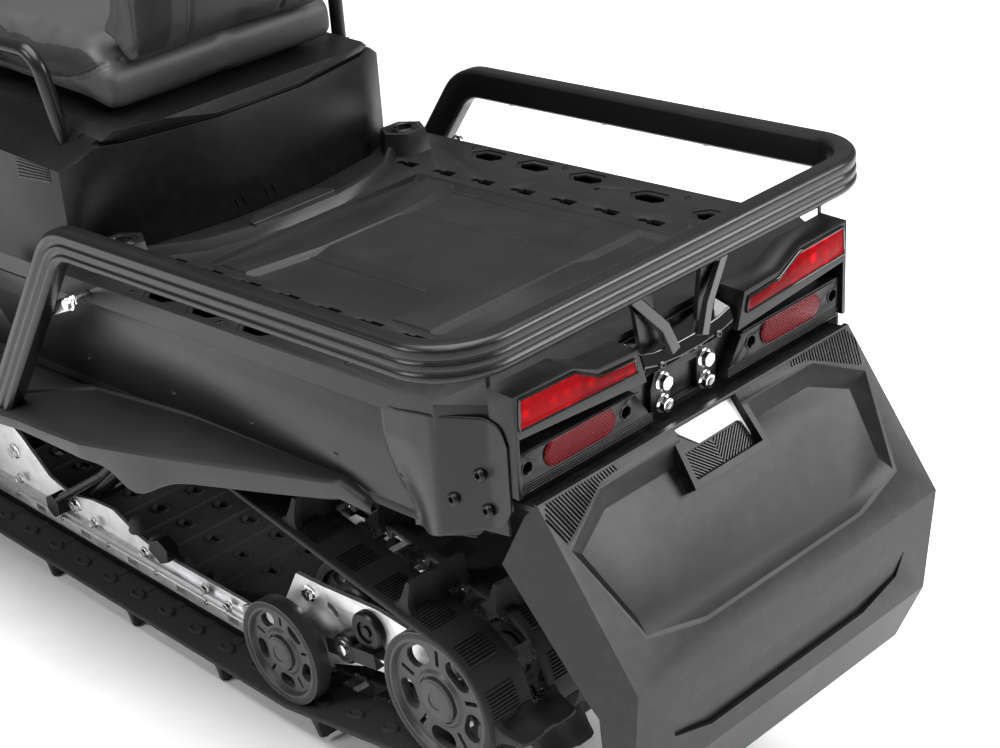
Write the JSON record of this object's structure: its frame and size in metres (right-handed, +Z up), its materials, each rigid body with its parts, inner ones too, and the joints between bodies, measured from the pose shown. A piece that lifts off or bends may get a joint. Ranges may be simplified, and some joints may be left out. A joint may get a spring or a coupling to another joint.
{
  "type": "snowmobile",
  "caption": "Two-seat utility snowmobile with a wide lugged track, rear cargo deck inside a rack rail, snow flap, tail lamps, steered front skis and a tall windshield.",
  "frame": {"origin": "on the ground under the middle of the overall length and width", "axes": "front faces -Y, +X is the rider's left, +Z up"},
  "size_m": [1.088, 3.296, 1.35],
  "materials": {
    "black_plastic": "satin, fine grain",
    "deck_plastic": "satin",
    "flap_plastic": "satin",
    "gloss_black": "gloss",
    "black_paint": "semi-gloss black",
    "aluminium": "brushed",
    "steel": "zinc plated",
    "track_rubber": "matt",
    "wheel_rubber": "matt",
    "grip_rubber": "matt",
    "seat_cover": "grained",
    "red_lens": "clear red",
    "lamp_glass": "clear",
    "screen": "light smoke",
    "engine_metal": "cast"
  },
  "bodies": {
    "chassis": {"axles": "steel", "backrest": "seat_cover", "belly_pan": "black_plastic", "body_side_left": "gloss_black", "body_side_right": "gloss_black", "cargo_deck": "deck_plastic", "carrier_wheels": "wheel_rubber", "drive_sprockets": "black_plastic", "driver_seat": "seat_cover", "engine": "engine_metal", "frame_tubes": "black_paint", "front_bumper": "black_paint", "front_frame": "aluminium", "fuel_tank": "black_plastic", "grab_handles": "black_paint", "headlamps": "lamp_glass", "hitch_plate": "gloss_black", "hood": "gloss_black", "lamp_housings": "black_plastic", "lamp_lenses": "red_lens", "lower_arms": "black_paint", "passenger_seat": "seat_cover", "rack_rail": "black_paint", "rail_brackets": "black_paint", "rear_frame": "black_paint", "rear_wheels": "wheel_rubber", "reflector_bars": "black_plastic", "reflectors": "red_lens", "running_board_left": "black_plastic", "running_board_right": "black_plastic", "seat_base": "black_plastic", "seat_support": "black_plastic", "side_panel_left": "black_plastic", "side_panel_right": "black_plastic", "ski_shocks": "steel", "slide_rails": "aluminium", "slider_shoes": "black_plastic", "small_wheels": "wheel_rubber", "snow_flap": "flap_plastic", "tail_arms": "aluminium", "track": "track_rubber", "track_arms": "black_paint", "track_shocks": "steel", "tunnel": "black_paint", "upper_arms": "black_paint", "windshield": "screen"},
    "steering": {"handlebar": "black_paint", "grips_and_levers": "grip_rubber", "handlebar_pad": "black_plastic"},
    "left_ski": {"ski_left": "black_plastic", "spindle_left": "aluminium"},
    "right_ski": {"ski_right": "black_plastic", "spindle_right": "aluminium"},
    "left_tie_rod": {"tie_rod_left": "steel"},
    "right_tie_rod": {"tie_rod_right": "steel"}
  },
  "joints": [
    {"name": "handlebar_turn", "type": "hinge", "parent": "chassis", "child": "steering", "pos_m": [0, -0.56, 0.905], "axis": [0, 0.5299, 0.848], "range_deg": [-38, 38]},
    {"name": "ski_turn_left", "type": "hinge", "parent": "chassis", "child": "left_ski", "pos_m": [0.424, -1, 0.3], "axis": [0, 0, 1], "range_deg": [-30.4, 30.4]},
    {"name": "ski_turn_right", "type": "hinge", "parent": "chassis", "child": "right_ski", "pos_m": [-0.424, -1, 0.3], "axis": [0, 0, 1], "range_deg": [-30.4, 30.4]},
    {"name": "tie_rod_turn_left", "type": "hinge", "parent": "left_ski", "child": "left_tie_rod", "pos_m": [0.424, -0.91, 0.354], "axis": [0, 0, 1], "range_deg": [-30.4, 30.4]},
    {"name": "tie_rod_turn_right", "type": "hinge", "parent": "right_ski", "child": "right_tie_rod", "pos_m": [-0.424, -0.91, 0.354], "axis": [0, 0, 1], "range_deg": [-30.4, 30.4]}
  ],
  "couplings": [
    {"joint": "ski_turn_left", "follows": "handlebar_turn", "ratio": 0.8},
    {"joint": "ski_turn_right", "follows": "handlebar_turn", "ratio": 0.8},
    {"joint": "tie_rod_turn_left", "follows": "handlebar_turn", "ratio": -0.8},
    {"joint": "tie_rod_turn_right", "follows": "handlebar_turn", "ratio": -0.8}
  ]
}
